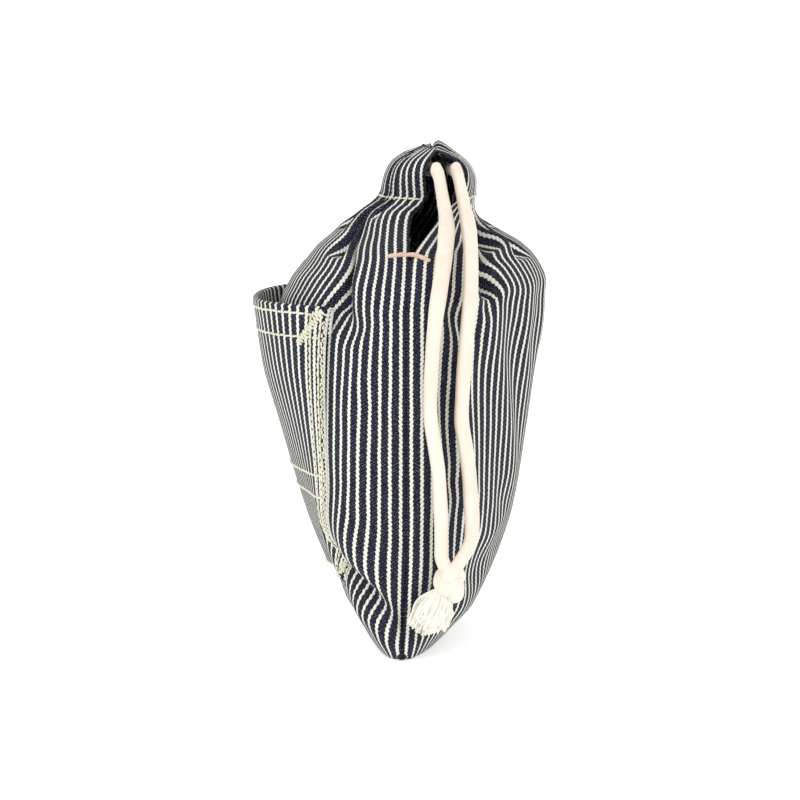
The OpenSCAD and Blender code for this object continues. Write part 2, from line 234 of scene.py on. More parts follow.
def tube_mesh(path, radius, sides, caps=True):
    """Points and faces of a tube; radius(distance, angle) or a number, with round ends."""
    across, other = frames_along(path)
    gone = np.concatenate([[0], np.cumsum(np.linalg.norm(np.diff(path, axis=0), axis=1))])
    turn = np.linspace(0, 2 * math.pi, sides, endpoint=False)
    size = radius(gone[:, None], turn[None, :]) if callable(radius) else radius
    size = np.broadcast_to(size, (len(path), sides))
    ring = across[:, None] * np.cos(turn)[None, :, None] + other[:, None] * np.sin(turn)[None, :, None]
    points = np.asarray(path)[:, None] + ring * size[..., None]
    rows = [points]
    if caps:
        ahead = np.cross(across, other)
        first, last = [], []
        for f in (0.94, 0.7, 0.35):
            out = math.sqrt(1 - f * f)
            first.append(path[0] + (points[0] - path[0]) * f - ahead[0] * size[0].mean() * out)
            last.append(path[-1] + (points[-1] - path[-1]) * f + ahead[-1] * size[-1].mean() * out)
        rows = [np.array(first[::-1]), points, np.array(last)]
    points = np.concatenate(rows).reshape(-1, 3)
    n = len(points) // sides
    k = np.arange(sides)
    faces = []
    for i in range(n - 1):
        a, b = i * sides + k, i * sides + (k + 1) % sides
        faces += np.stack([a, b, b + sides, a + sides], axis=1).tolist()
    faces += [list(range(sides))[::-1], [(n - 1) * sides + j for j in range(sides)]]
    length = np.linalg.norm(np.diff(points.reshape(n, sides, 3).mean(1), axis=0), axis=1)
    along = np.concatenate([[0], np.cumsum(length)])
    uv = np.stack(np.broadcast_arrays(turn[None, :] * 3, along[:, None]), axis=-1).reshape(-1, 2)
    return points, faces, uv


def join(parts):
    """Several (points, faces, uv) as one."""
    points, faces, uv, count = [], [], [], 0
    for p, f, u in parts:
        points.append(p)
        uv.append(u)
        faces += [[i + count for i in face] for face in f]
        count += len(p)
    return np.concatenate(points), faces, np.concatenate(uv)


# %% [markdown]
# ## The drawcord
# The cord is soft, flat-ish cotton about as thick as a pencil. Its loop runs hidden in the casings,
# both ends come out of one slit, hang down the side and are tied together in one overhand knot,
# with frayed tufts below it. The free strands repeat the imported model's route. Each is a swept
# tube whose section is a little uneven, because a perfect circle would look like plastic.

# %% Routes of the cord
CORD_R = 3.3
STRAND_R = 3.08
FRONT_ROUTE = [
    (26, 12.1, 166.3), (29.5, 13, 164.6), (33, 13.8, 160.5), (36.5, 14.6, 156),
    (40.5, 15.3, 152), (45, 15.6, 148.6), (50, 15.5, 145), (55, 15, 140), (59.5, 14.2, 134),
    (63, 13.2, 127.5), (66, 12, 119.5), (68, 11, 110.5), (69.3, 10.3, 101), (70.1, 9.9, 92),
    (70.8, 10, 83), (71.5, 11.3, 74), (72.5, 12.6, 65), (73.6, 13.2, 56), (74.8, 13.6, 47),
    (75.8, 13.7, 40), (76.5, 13.8, 35.3), (76.9, 14.8, 32.6)]
BACK_ROUTE = [
    (26, 19, 166.3), (29.5, 19.7, 164.6), (33, 20.6, 160.5), (36.5, 21.5, 156),
    (40.5, 22.3, 152), (45, 23, 148.6), (49.5, 23.6, 144.6), (53.5, 23.9, 139.6),
    (57.5, 24, 133), (60.5, 23.8, 126), (62.5, 23, 117.5), (63.8, 22.2, 108.5),
    (64.6, 21.5, 99), (65.5, 21, 90), (66.8, 20.8, 82), (68.2, 22.2, 73), (69.6, 23.4, 64),
    (71, 24, 55), (72.6, 24.4, 47.5), (74.4, 24, 41), (76.3, 21, 35.3), (76.9, 19.2, 32.8)]
CORD_Z = 166.3
FRONT_LEAD = [(8, 10.6, CORD_Z - 1), (12.5, 11.1, CORD_Z - 1), (16, 11.6, CORD_Z - 0.8),
              (19.5, 11.9, CORD_Z - 0.4), (23.5, 12.1, CORD_Z), (27.4, 12.2, CORD_Z - 0.3)]
BACK_LEAD = [(8, 17.4, CORD_Z - 1), (12.5, 18.3, CORD_Z - 1), (16, 18.9, CORD_Z - 0.8),
             (19.5, 19, CORD_Z - 0.4), (23.5, 19, CORD_Z), (27.4, 19.1, CORD_Z - 0.3)]


def cotton_section(seed, radius=CORD_R, flat=((0, 0.1), (150, 0.1)), girth=((0, 1), (150, 1))):
    """A soft cord's uneven section; flat and girth list how narrow and how big it is along it."""
    draw = np.random.default_rng(seed)
    phase = draw.uniform(0, 2 * math.pi, 6)

    def size(along, turn):
        narrow = through(*zip(*flat), along)
        squash = 1 - narrow * np.cos(2 * turn) - 0.10 * narrow * np.cos(4 * turn)
        crease = 0.022 * np.cos(3 * turn + phase[1] + along / 33)
        crease = crease + 0.016 * np.cos(5 * turn + phase[2] - along / 25)
        lump = 0.016 * np.sin(along / 4.1 + phase[3]) + 0.010 * np.sin(along / 2.3 + phase[4])
        return radius * through(*zip(*girth), along) * (squash + crease + lump)
    return size


def cord_piece(name, route, size, spacing=0.9, sides=28):
    path, gone = resample(route, spacing)
    piece = make_mesh(name, *tube_mesh(path, size, sides))
    print(name, "length", round(float(gone[-1]), 1), "mm")
    return piece, path, float(gone[-1])


FLAT_FRONT = [(0, 0.30), (14, 0.16), (34, 0.05), (62, 0.10), (84, 0.28), (120, 0.30), (150, 0.26)]
FLAT_BACK = [(0, 0.30), (20, 0.32), (48, 0.36), (80, 0.36), (108, 0.28), (132, 0.20), (150, 0.30)]
GIRTH = [(0, 0.72), (10, 0.76), (32, 1.0), (150, 1.0)]
front_strand, front_path, front_length = cord_piece(
    "front_cord_strand", FRONT_ROUTE, cotton_section(11, STRAND_R, FLAT_FRONT, GIRTH))
back_strand, back_path, back_length = cord_piece(
    "back_cord_strand", BACK_ROUTE, cotton_section(12, STRAND_R, FLAT_BACK, GIRTH))

# %% The leads and the hidden loop
LOOP_R, LOOP_CORD_R = 7.6, 2.2
LOOP_CENTRE = (-2, 10)


def loop_route():
    """Round the back of the neck, from the back lead to the front lead."""
    turns = np.radians(np.linspace(78, 290, 22))
    ring = [(LOOP_CENTRE[0] + LOOP_R * math.cos(a), LOOP_CENTRE[1] + LOOP_R * math.sin(a), CORD_Z - 1)
            for a in turns]
    inside = CORD_Z - 1
    start = [(10.5, 18.0, inside), (5, 17.5, inside)]
    end = [(4, 4.4, inside), (7.2, 7.8, inside), (10.5, 10.5, inside)]
    return start + ring + end


front_lead = cord_piece("front_cord_lead", FRONT_LEAD, cotton_section(13, 2.15))[0]
back_lead = cord_piece("back_cord_lead", BACK_LEAD, cotton_section(14, 2.15))[0]
cord_loop = cord_piece("cord_loop", loop_route(), cotton_section(15, LOOP_CORD_R))[0]

# %% [markdown]
# ## The knot and the frayed ends
# Both strands are tied together in one overhand knot, pulled tight. A trefoil curve has the same
# crossings as an overhand knot, so a thick tube along one gives the right bulges. Below it each
# strand has come apart into soft fibres, made as a bundle of thin curved tubes that spread.

# %% Knot and tufts
KNOT_TOP = np.array([77.3, 16.8, 35.0])
KNOT_H = 16.0


def knot_route():
    """A trefoil, flattened and stood up between the strands above and the tufts below."""
    t = np.linspace(0, 2 * math.pi, 60, endpoint=False)
    x = np.sin(t) + 2 * np.sin(2 * t)
    y = np.cos(t) - 2 * np.cos(2 * t)
    z = -np.sin(3 * t)
    centre = KNOT_TOP - (0, 0, KNOT_H / 2)
    turn = math.radians(25)
    across = x * math.cos(turn) - y * math.sin(turn)
    up = x * math.sin(turn) + y * math.cos(turn)
    return centre + np.stack([2.0 * z, 0.98 * across, 1.52 * up], axis=1)


def closed_tube(path, radius, sides=24):
    """A ring-shaped tube through a closed path."""
    n = len(path)
    three = np.concatenate([path, path, path])
    across, other = frames_along(three)
    across, other = across[n:2 * n], other[n:2 * n]
    turn = np.linspace(0, 2 * math.pi, sides, endpoint=False)
    start, end = across[0], frames_along(three)[0][2 * n]
    ahead = np.cross(across[0], other[0])
    twist = math.atan2(np.cross(end, start) @ ahead, end @ start)
    angles = turn[None, :] + (np.arange(n) / n * twist)[:, None]
    lump = 1 + 0.05 * np.cos(2 * angles + 0.6) + 0.03 * np.sin(np.arange(n) / n * 24 * math.pi)[:, None]
    points = path[:, None] + radius * lump[..., None] * (
        across[:, None] * np.cos(angles)[..., None] + other[:, None] * np.sin(angles)[..., None])
    faces = []
    for i in range(n):
        for k in range(sides):
            a, b = i * sides + k, i * sides + (k + 1) % sides
            c, d = ((i + 1) % n) * sides + k, ((i + 1) % n) * sides + (k + 1) % sides
            faces.append([a, b, d, c])
    uv = np.stack(np.broadcast_arrays(turn[None, :] * 3, np.arange(n)[:, None] * 1.0), axis=-1)
    return points.reshape(-1, 3), faces, uv.reshape(-1, 2)


def ball(centre, radii, rows=14, columns=24):
    """The knot's hidden core, so that no light shows between its turns."""
    up = np.linspace(0.06, math.pi - 0.06, rows)[:, None]
    turn = np.linspace(0, 2 * math.pi, columns, endpoint=False)[None, :]
    grid = np.stack(np.broadcast_arrays(np.sin(up) * np.cos(turn), np.sin(up) * np.sin(turn), np.cos(up)), -1)
    points = (centre + grid * radii).reshape(-1, 3)
    k = np.arange(columns)
    faces = []
    for i in range(rows - 1):
        a, b = i * columns + k, i * columns + (k + 1) % columns
        faces += np.stack([a, a + columns, b + columns, b], axis=1).tolist()
    faces += [k.tolist(), ((rows - 1) * columns + k)[::-1].tolist()]
    return points, faces, points[:, 1:]


def tuft(root, lean, seed, fibres=230, length=16.5, spread=5.2):
    """A frayed cord end: thin fibres that leave one root and spread, each with its own bend."""
    draw = np.random.default_rng(seed)
    lean = np.asarray(lean, float) / np.linalg.norm(lean)
    side = np.cross(lean, (1.0, 0.2, 0.0))
    side /= np.linalg.norm(side)
    third = np.cross(lean, side)
    parts = []
    for _ in range(fibres):
        angle, out = draw.uniform(0, 2 * math.pi), draw.uniform(0, 1) ** 0.45
        away = side * math.cos(angle) + third * math.sin(angle) * 0.8
        t = np.linspace(0, 1, 9)[:, None]
        long = length * draw.uniform(0.62, 1.0) * (1 - 0.22 * out * out)
        curl = side * math.cos(angle + 2) + third * math.sin(angle + 2)
        path = (root + away * out * (1.5 + (spread - 1.5) * np.sin(t * 1.9) * draw.uniform(0.8, 1.1))
                + lean * long * t
                + curl * 1.25 * np.sin(t * draw.uniform(2, 7)) * draw.uniform(-1, 1))
        parts.append(tube_mesh(path, draw.uniform(0.34, 0.52), 5))
    return join(parts)


knot_foot = KNOT_TOP - (0, 0, KNOT_H)
knot = make_mesh("cord_knot", *join([
    closed_tube(knot_route(), 3.05), ball(KNOT_TOP - (0, 0, KNOT_H / 2), (3.9, 4.2, 5.9))]))
front_tuft = make_mesh("front_cord_tuft", *tuft(
    knot_foot + (1.2, -3.9, 5.0), (0.10, -0.50, -1), seed=21, fibres=260, length=16.5, spread=5.6))
back_tuft = make_mesh("back_cord_tuft", *tuft(
    knot_foot + (0.9, -2.4, 3.4), (0.02, -0.26, -1), seed=22, fibres=190, length=13.5, spread=4.6))

# %% [markdown]
# ## The shape of the sack's cloth
# Each panel is one flat piece of denim, so it is made as a grid whose points know their place on
# the flat cloth: across it and up it, in millimetres. The stripes are then woven along that grid
# and follow every fold. The large shape comes from ribs up the sack, like a boat's. The top closes
# in so much that the cloth has to gather: each fold takes its share of the spare width, and its
# depth follows from how much cloth is pushed into it.

# %% Ribs up the sack
CLOTH_T = 0.9
HALF_CUT = BODY_W / 2 + 9
W, H, F, B = BODY_W, BODY_H, FRONT_DEPTH, BACK_DEPTH
# height, half width, front, back, fullness, right edges y, left edges y, middle x, deepest fold
RIBS = np.array([
    (0, 0.5 * W, 0, 0, 1, 0, 0, 0, 0, 0, 1),
    (0, 0.5 * W, 0.22 * F, 0.21 * B, 1, 0, 0, 0, 0, 0, 1),
    (0.025 * H, 0.5 * W, 0.31 * F, 0.32 * B, 0.85, 0, 0, 0, 0, 0, 3),
    (0.07 * H, 0.494 * W, 0.41 * F, 0.43 * B, 0.7, 0.5, 0.5, 0.5, 0.5, 0, 5),
    (0.16 * H, 0.478 * W, 0.58 * F, 0.57 * B, 0.65, 1, 1, 1, 1, 0, 6),
    (0.3 * H, 0.455 * W, 0.77 * F, 0.72 * B, 0.7, 1.5, 1.5, 1.5, 1.5, 0, 7),
    (0.49 * H, 0.436 * W, 0.93 * F, 0.82 * B, 0.85, 1.5, 1.5, 1.5, 1.5, 0, 8),
    (0.65 * H, 0.423 * W, F, 0.89 * B, 1, 1.5, 1.5, 1.5, 1.5, 0, 9),
    (0.77 * H, 0.404 * W, 0.99 * F, 0.97 * B, 1, 1.5, 1.5, 1.5, 1.5, 0, 10),
    (0.81 * H, 0.388 * W, 0.93 * F, 0.975 * B, 1, 2, 2, 1.5, 2, 0, 10),
    (0.86 * H, 0.359 * W, 0.80 * F, 0.91 * B, 1, 2.5, 2.5, 2, 2.5, 0, 10),
    (H - 16, 0.327 * W, 0.68 * F, 0.81 * B, 1, 2.7, 3.2, 3.7, 3.5, 0, 9.5),
    (H - 12.5, 0.295 * W, 0.57 * F, 0.7 * B, 1, 2.8, 5.5, 5.3, 5, 0, 9),
    (H - 9.5, 0.256 * W, 0.49 * F, 0.6 * B, 1, 2.8, 8.2, 7.3, 7, -0.5, 8),
    (H - 6.5, 0.218 * W, 0.4 * F, 0.52 * B, 1, 3.0, 11, 9.3, 9, -1, 7),
    (H - 3, 0.18 * W, 0.31 * F, 0.49 * B, 1, 3.9, 14, 10.8, 10.5, -1, 6.2),
    (H, 22.5, 9.7, 26, 1, 7.4, 17.5, 12.0, 11.8, -1, 5.6),
    (H + 2.5, 21.5, 7.9, 26.6, 1, 8.8, 20.5, 12.6, 12.4, -0.4, 5.2),
    (H + 7, 22.5, 6.9, 26.7, 1, 8.4, 22.4, 12.6, 12.4, 0.4, 4.6),
    (H + 11, 23.5, 5.5, 25.4, 1, 8.2, 22.8, 12.4, 12.2, 1, 4.2),
    (H + 14.5, 23, 2.9, 22.6, 1, 8.8, 21.6, 11.8, 11.6, 1.6, 3.2),
    (H + 17.5, 20, -2.2, 17.6, 1, 10.8, 17.6, 11.0, 10.8, 1.8, 2.6),
    (H + 19.2, 14, -7.4, 12.8, 1, 12.2, 13.2, 10.6, 10.4, 0.6, 1.8),
    (H + 17.5, 8, -9.0, 11.0, 1, 10.2, 10.6, 10.4, 10.2, -1, 0.8),
    (H + 10, 5, -8.8, 11.4, 1, 9.9, 10.3, 10.4, 10.2, -2, 0.6),
    (H + 3, 4.6, -7.6, 12.4, 1, 9.9, 10.3, 10.4, 10.2, -2, 0.6)])
climb = np.hypot(np.diff(RIBS[:, 0]), np.diff((RIBS[:, 2] + RIBS[:, 3]) / 2))
RIB_UP = np.concatenate([[0], np.cumsum(climb)])
TOP_RIB = 22
CUT_H = float(RIB_UP[-1])
print("a panel's cut is", 2 * HALF_CUT, "by", round(CUT_H, 1), "mm")


def up_at(z):
    """How far up the cut the outside reaches a height."""
    return float(np.interp(z, RIBS[1:TOP_RIB + 1, 0], RIB_UP[1:TOP_RIB + 1]))


# %% Folds that take up the cloth
# middle across the cut, width on the cut, height where it starts, rise until it is full, lean
FOLDS = {
    FRONT: [(68.5, 8, H - 5, 9, 0.0), (57, 17, 0.72 * H, 26, -2.0), (38.5, 16, 0.88 * H, 15, 2.0),
            (20, 17, 0.93 * H, 12, -2.5), (0, 18, 0.86 * H, 16, 1.5), (-19, 16, 0.92 * H, 13, 2.0),
            (-37, 16, 0.88 * H, 15, -2.5), (-57, 18, 0.73 * H, 28, 1.5), (-72, 9, H - 9, 12, 0.0)],
    BACK: [(68, 10, H - 5, 9, 0.5), (53, 18, 0.70 * H, 24, 1.5), (36, 14, 0.90 * H, 14, -2.0),
           (19.5, 17, 0.87 * H, 15, 2.0), (1, 16, 0.93 * H, 12, -1.5), (-18, 18, 0.88 * H, 15, 2.0),
           (-37, 16, 0.93 * H, 12, -1.0), (-56, 18, 0.72 * H, 26, -2.0), (-72, 9, H - 8, 12, 0.0)]}
# creases that cross the stripes: from, to (across, up), width, depth
CREASES = {
    FRONT: [((46, 39), (93, 10), 4.2, 6.2), ((50, 52), (84, 27), 8, -2.2), ((56, 20), (84, 8), 5, -1.6),
            ((-60, 40), (-88, 20), 7, 3.4), ((64, 0.73 * H), (50, 0.97 * H), 3.8, 4.4),
            ((72, 0.72 * H), (60, 0.80 * H), 6, 1.4), ((18, 30), (46, 21), 7, 1.6),
            ((-40, 22), (-8, 30), 8, 1.4), ((74, 86), (80, 44), 4.0, 1.2), ((80, 40), (83, 92), 3.5, -0.9)],
    BACK: [((54, 0.79 * H), (40, 0.955 * H), 4.2, 6.5), ((37, 0.93 * H), (22, 0.90 * H), 6, -2.4),
           ((74, 0.80 * H), (62, 0.73 * H), 5, 3.0), ((60, 24), (89, 12), 6, 3.0),
           ((-64, 0.85 * H), (-40, 0.9 * H), 6, 3.2), ((20, 42), (48, 30), 9, 2.0),
           ((-50, 34), (-86, 16), 7, 3.0), ((70, 62), (76, 112), 4.5, 2.2), ((60, 52), (66, 96), 5, -1.4),
           ((-30, 60), (-12, 96), 9, 1.4), ((26, 84), (40, 120), 7, 1.5)]}


def edge_y(side, ribs):
    column = 5 if side == FRONT else 6
    return ribs[:, column], ribs[:, column + 2]


def rib_curve(side, ribs, angle):
    """Points of each rib at an angle from -90 degrees at the left seam to 90 at the right one."""
    right, left = edge_y(side, ribs)
    share = smooth_step((np.sin(angle) + 1) / 2)
    edge = left[:, None] * (1 - share) + right[:, None] * share
    middle = (side * (ribs[:, 2] if side == FRONT else ribs[:, 3]))[:, None]
    swell = np.clip(np.cos(angle), 0, 1) ** ribs[:, 4][:, None]
    x = ribs[:, 9][:, None] + ribs[:, 1][:, None] * np.sin(angle)
    y = edge + (middle - edge) * swell
    return np.stack([x, y, np.broadcast_to(ribs[:, 0][:, None], x.shape)], axis=-1)


def fold_shares(side, across, up):
    """For each row: how strongly each fold is on, and its outline across the cloth."""
    shares, outlines, widths = [], [], []
    for middle, width, start, rise, lean in FOLDS[side]:
        on = smooth_step((up - up_at(min(start, H + 2))) / rise)
        drift = lean * smooth_step((up - up_at(start)) / 40)
        q = np.abs(across[None, :] - middle - drift[:, None]) / (width / 2)
        outlines.append(q)
        shares.append(on)
        widths.append(width)
    return shares, outlines, widths


def panel_grid(side, across, up, gathered=True):
    """The cloth of one panel: points, directions out of it, on a grid of the flat cut."""
    ribs = through(RIB_UP, RIBS, up)
    fine = np.linspace(-math.pi / 2, math.pi / 2, 721)[None, :]
    curve = rib_curve(side, ribs, fine)
    step = np.linalg.norm(np.diff(curve, axis=1), axis=2)
    run = np.concatenate([np.zeros((len(up), 1)), np.cumsum(step, axis=1)], axis=1)
    dense = np.linspace(-HALF_CUT, HALF_CUT, 871)
    shares, outlines, widths = fold_shares(side, dense, up)
    hidden = sum(on[:, None] * smooth_step((1 - q) / 0.42) for on, q in zip(shares, outlines))
    cell = dense[1] - dense[0]
    spare = np.maximum(2 * HALF_CUT - run[:, -1], 0)
    taken = np.clip(spare / np.maximum(hidden.sum(axis=1) * cell, 1e-3), 0, 0.90)
    taken = taken if gathered else taken * 0
    seen = 1 - taken[:, None] * np.clip(hidden, 0, 1)
    steps = np.cumsum((seen[:, 1:] + seen[:, :-1]) / 2, axis=1)
    gone = np.concatenate([np.zeros((len(up), 1)), steps], axis=1)
    gone /= gone[:, -1:]
    points = np.zeros((len(up), len(across), 3))
    for i in range(len(up)):
        place = np.interp(across, dense, gone[i])
        angle = np.interp(place * run[i, -1], run[i], fine[0])
        points[i] = rib_curve(side, ribs[i:i + 1], angle[None, :])[0]
    along = np.gradient(points, axis=1)
    rising = np.gradient(points, axis=0)
    out = np.cross(along, rising) * -side
    size = np.linalg.norm(out, axis=2, keepdims=True)
    out = out / np.maximum(size, 1e-9)
    shares, outlines, widths = fold_shares(side, across, up)
    depth = np.zeros(points.shape[:2])
    for on, q, width in zip(shares, outlines, widths) if gathered else ():
        seen_here = 1 - taken * on
        deep = 0.43 * width * np.sqrt(np.clip(1 - seen_here ** 2, 0, 1))
        deep = np.minimum(deep, ribs[:, 10])
        depth = np.maximum(depth, deep[:, None] * (0.5 + 0.5 * np.cos(math.pi * np.clip(q, 0, 1))) ** 0.8)
    depth += crease_depth(side, across, up) + ripple_depth(side, across, up)
    points = points - out * depth[..., None]
    points[..., 2] = np.maximum(points[..., 2] + ridge_lift(side, across, up), 0)
    return points


def ridge_lift(side, across, up):
    """The bunched top is uneven, and one pleat stands a little above the rest."""
    top = np.exp(-((up - RIB_UP[TOP_RIB]) / 5.5) ** 2)[:, None]
    s = across[None, :]
    waves = 0.7 * np.sin(s / 5.3 + side) + 0.5 * np.sin(s / 2.9 + 2)
    pleat = 2.4 * np.exp(-((s - 8) / 9) ** 2) if side == BACK else 0
    return top * (waves + pleat - 0.5)


def crease_depth(side, across, up):
    depth = np.zeros((len(up), len(across)))
    s, h = across[None, :], up[:, None]
    for start, end, width, deep in CREASES[side]:
        a = np.array([start[0], up_at(start[1])])
        b = np.array([end[0], up_at(end[1])])
        d = b - a
        t = ((s - a[0]) * d[0] + (h - a[1]) * d[1]) / (d @ d)
        near = t.clip(0, 1)
        off = np.hypot(s - a[0] - near * d[0], h - a[1] - near * d[1])
        depth += deep * np.exp(-(off / width) ** 2) * (0.35 + 0.65 * np.sin(math.pi * near))
    return depth


def ripple_depth(side, across, up):
    """Slack in the cloth, puckers beside the seams and the seams' own grooves."""
    draw = np.random.default_rng(5 + side)
    s, h = across[None, :], up[:, None]
    depth = np.zeros((len(up), len(across)))
    for _ in range(14):
        wide, tall = draw.uniform(9, 26), draw.uniform(22, 60)
        depth += 0.17 * np.sin(s / wide + h / tall * draw.choice([-1, 1]) + draw.uniform(0, 6.3))
    body = smooth_step((up - 6) / 14) * smooth_step((up_at(H) - up) / 14)
    inside = HALF_CUT - np.abs(s)
    pucker = 0.55 * np.sin(h / 1.15 + 2.2 * np.sin(h / 7.3)) * np.exp(-inside / 4.5)
    sewn = smooth_step((up_at(H - 15) - up) / 5)[:, None]
    groove = 1.3 * np.exp(-(inside / 2.0) ** 2)
    hem = 1.2 * smooth_step((1.25 - inside) / 1.1) * (1 - sewn)
    away = smooth_step(inside / 9)
    puckered = pucker * smooth_step((up - 8) / 8)[:, None] * 0.6
    return depth * body[:, None] * away + (puckered + groove) * sewn + hem


# %% [markdown]
# ## Cutting and closing the two panels
# The grid is given its thickness with a solidify step, which also makes the turned edges of the
# slits. The front and the back meet at the side seams and under the sack, and stay apart above
# the tacks. A short cloth simulation then loosens the cloth between its held edges. It only adds
# small unevenness: the folds that show are the ribs, folds and creases set above.

# %% The panels
CELL = 1.15
ACROSS = np.linspace(-HALF_CUT, HALF_CUT, int(2 * HALF_CUT / CELL) + 1)
UP = np.linspace(0, CUT_H, int(CUT_H / CELL) + 1)
# the simulation: every third grid point, frames, the most it may move the cloth, how much it grows
SETTLE_STEP = 3
SETTLE_FRAMES = 30
SETTLE_CAP = 1.8
GROWTH = 0.025
pocket_box = box_mm("pocket_panel")
HELD_HALF = 58           # half of the width that the pocket holds still


def thicken(piece, thickness_mm):
    step = piece.modifiers.new("thickness", "SOLIDIFY")
    step.thickness = thickness_mm * MM
    step.offset = -1
    bpy.context.view_layer.objects.active = piece
    with bpy.context.temp_override(object=piece, active_object=piece, selected_objects=[piece]):
        bpy.ops.object.modifier_apply(modifier=step.name)


def cloth_panel(name, side, points):
    rows, columns = points.shape[:2]
    uv = np.stack(np.meshgrid(ACROSS, UP), axis=-1).reshape(-1, 2)
    piece = make_mesh(name, points.reshape(-1, 3), grid_faces(rows, columns, flip=side == BACK), uv)
    thicken(piece, CLOTH_T)
    for vertex in piece.data.vertices:
        vertex.co.z = max(vertex.co.z, 0.0)
    return piece


def free_share(side):
    """Where the cloth may move: not at the seams, the gathers or under the pocket."""
    s, h = ACROSS[None, :], UP[:, None]
    inside = smooth_step((HALF_CUT - np.abs(s) - 3) / 14)
    free = inside * smooth_step((h - 16) / 14) * smooth_step((up_at(H - 20) - h) / 16)
    if side == FRONT:
        low, high = up_at(pocket_box[0][2]) - 4, up_at(pocket_box[1][2]) + 3
        beside = smooth_step((np.abs(s) - HELD_HALF) / 8)
        above = smooth_step(np.maximum(low - h, h - high) / 8)
        free = free * np.maximum(beside, above)
    return free


def settle(side, points):
    """Cloth simulation: a coarse copy grows a little between its held edges and buckles."""
    coarse = points[::SETTLE_STEP, ::SETTLE_STEP]
    rows, columns = coarse.shape[:2]
    copy = make_mesh("settling", coarse.reshape(-1, 3), grid_faces(rows, columns, flip=side == BACK))
    held = copy.vertex_groups.new(name="held")
    stay = 1 - np.clip(free_share(side)[::SETTLE_STEP, ::SETTLE_STEP].ravel() * 3, 0, 1)
    for k, weight in enumerate(stay):
        held.add([k], float(weight), "REPLACE")
    cloth = copy.modifiers.new("cloth", "CLOTH")
    cloth.settings.quality = 8
    cloth.settings.mass = 0.2
    cloth.settings.vertex_group_mass = "held"
    cloth.settings.shrink_min = -GROWTH
    cloth.settings.tension_stiffness = cloth.settings.compression_stiffness = 30
    cloth.settings.bending_stiffness = 0.6
    cloth.settings.use_pressure = True
    cloth.settings.uniform_pressure_force = 0.1
    cloth.settings.effector_weights.gravity = 0.3
    cloth.collision_settings.use_collision = False
    scene = bpy.context.scene
    for frame_number in range(1, SETTLE_FRAMES + 1):
        scene.frame_set(frame_number)
    done = copy.evaluated_get(bpy.context.evaluated_depsgraph_get()).to_mesh()
    moved = np.zeros(rows * columns * 3)
    done.vertices.foreach_get("co", moved)
    moved = moved.reshape(rows, columns, 3) / MM - coarse
    scene.frame_set(1)
    bpy.data.objects.remove(copy)
    size = np.linalg.norm(moved, axis=2, keepdims=True)
    print("settling moved", round(float(size.mean()), 2), "mm on average and",
          round(float(size.max()), 2), "at most, before the cap")
    moved *= np.minimum(1, SETTLE_CAP / np.maximum(size, 1e-6))
    i = np.minimum(np.arange(len(UP)) / SETTLE_STEP, rows - 1.001)
    j = np.minimum(np.arange(len(ACROSS)) / SETTLE_STEP, columns - 1.001)
    i0, j0 = i.astype(int), j.astype(int)
    fi, fj = (i - i0)[:, None, None], (j - j0)[None, :, None]
    low = moved[i0][:, j0] * (1 - fj) + moved[i0][:, j0 + 1] * fj
    high = moved[i0 + 1][:, j0] * (1 - fj) + moved[i0 + 1][:, j0 + 1] * fj
    change = low * (1 - fi) + high * fi
    for _ in range(8):
        change[1:-1] = (change[:-2] + 2 * change[1:-1] + change[2:]) / 4
        change[:, 1:-1] = (change[:, :-2] + 2 * change[:, 1:-1] + change[:, 2:]) / 4
    return points + change * free_share(side)[..., None]


surface = {side: settle(side, panel_grid(side, ACROSS, UP)) for side in (FRONT, BACK)}
front_cloth = cloth_panel("front_cloth", FRONT, surface[FRONT])
back_cloth = cloth_panel("back_cloth", BACK, surface[BACK])
for piece in (front_cloth, back_cloth):
    print(piece.name, len(piece.data.polygons), "faces")

# %% [markdown]
# ## Places on the cloth
# Sewing lies on the cloth, so it needs to know where a point of the flat cut has gone in space
# and which way is out. A small class looks that up in a panel's grid. Thread, tacks and hems are
# all placed through it, and follow every fold of the cloth.

# %% Looking up places


class Cloth:
    """A surface made from a grid of the flat cut, with its outward directions."""

    def __init__(self, across, up, points, side):
        self.across, self.up, self.points = across, up, points
        out = np.cross(np.gradient(points, axis=1), np.gradient(points, axis=0)) * -side
        self.out = out / np.maximum(np.linalg.norm(out, axis=2, keepdims=True), 1e-9)

    def at(self, across, up, lift=0.0):
        """The point above one place of the cut, lifted off the cloth."""
        i = np.clip(np.interp(up, self.up, np.arange(len(self.up))), 0, len(self.up) - 1.001)
        j = np.clip(np.interp(across, self.across, np.arange(len(self.across))), 0, len(self.across) - 1.001)
        i0, j0 = np.floor(i).astype(int), np.floor(j).astype(int)
        fi, fj = (i - i0)[..., None], (j - j0)[..., None]

        def look(grid):
            low = grid[i0, j0] * (1 - fj) + grid[i0, j0 + 1] * fj
            high = grid[i0 + 1, j0] * (1 - fj) + grid[i0 + 1, j0 + 1] * fj
            return low * (1 - fi) + high * fi
        out = look(self.out)
        out = out / np.maximum(np.linalg.norm(out, axis=-1, keepdims=True), 1e-9)
        return look(self.points) + out * np.asarray(lift)[..., None]


panel = {side: Cloth(ACROSS, UP, surface[side], side) for side in (FRONT, BACK)}

# %% [markdown]
# ## The patch pocket
# The pocket is a second piece of the same denim, sewn to the front along its sides and bottom,
# and it gapes at the rim. It is made as an offset of the front without the gathers. At the rim the
# same grid turns over and runs down inside, which is how a hem is folded.

# %% The pocket
hem_box = box_mm("pocket_hem")
POCKET_Z, RIM_Z = pocket_box[0][2], pocket_box[1][2]
HEM = RIM_Z - hem_box[0][2]
POCKET_HALF = 56.5
GAPE = 7.6
RIM_ROUND = 1.0


